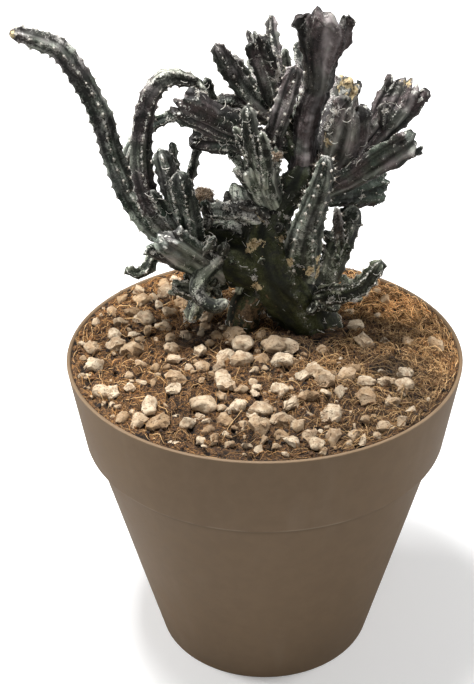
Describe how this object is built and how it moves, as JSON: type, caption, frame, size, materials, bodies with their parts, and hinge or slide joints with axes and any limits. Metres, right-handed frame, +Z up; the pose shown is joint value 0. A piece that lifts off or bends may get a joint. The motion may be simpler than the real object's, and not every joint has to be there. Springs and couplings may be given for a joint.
{
  "type": "potted crested cactus",
  "caption": "Crested columnar cactus with ribbed, arching and fan-shaped stems, growing in a round plastic pot topped with soil and pumice.",
  "frame": {"origin": "middle of the pot's flat underside", "axes": "+Z up through the pot's axis; the plant's front, as pictured, faces -Y and the long stem leans to -X"},
  "size_m": [0.3231, 0.3, 0.5052],
  "materials": {
    "pot_plastic": "matte",
    "soil_mix": "matte",
    "pumice": "matte",
    "cactus_skin": "matte",
    "crest_skin": "matte"
  },
  "bodies": {
    "root": {"pot": "pot_plastic", "soil": "soil_mix", "stone_01": "pumice", "stone_02": "pumice", "stone_03": "pumice", "stone_04": "pumice", "stone_05": "pumice", "stone_06": "pumice", "stone_07": "pumice", "stone_08": "pumice", "stone_09": "pumice", "stone_10": "pumice", "stone_11": "pumice", "stone_12": "pumice", "stone_13": "pumice", "stone_14": "pumice", "stone_15": "pumice", "stone_16": "pumice", "trunk": "cactus_skin", "arm_left": "cactus_skin", "bough_upper": "cactus_skin", "branch_low_right": "cactus_skin", "clump_left": "cactus_skin", "crest_back": "crest_skin", "crest_back_low": "crest_skin", "crest_behind": "crest_skin", "crest_dark_lower": "crest_skin", "crest_dark_upper": "crest_skin", "crest_front_fan": "crest_skin", "crest_low_left": "crest_skin", "crest_right_lower": "crest_skin", "crest_right_middle": "crest_skin", "crest_right_upper": "crest_skin", "crest_tall": "crest_skin", "crest_upper_left": "crest_skin", "crest_woolly": "crest_skin", "knob_brown": "cactus_skin", "knob_grey": "cactus_skin", "stem_arched": "cactus_skin", "stem_back_left": "cactus_skin", "stem_back_right": "cactus_skin", "stem_dotted_front": "cactus_skin", "stem_dotted_upper": "cactus_skin", "stem_hook": "cactus_skin", "stem_long_left": "cactus_skin", "stem_right_inner": "cactus_skin", "stem_thin_dark": "cactus_skin", "stem_thin_left": "cactus_skin", "stem_upper_left": "cactus_skin", "stem_upper_left_back": "cactus_skin", "stem_upper_left_inner": "cactus_skin", "stem_upper_right": "cactus_skin", "stem_upper_short": "cactus_skin", "stem_upper_warty": "cactus_skin", "stub_dark": "cactus_skin", "stub_left_high": "cactus_skin", "stub_low_left": "cactus_skin", "tongue_low": "cactus_skin"}
  },
  "joints": []
}
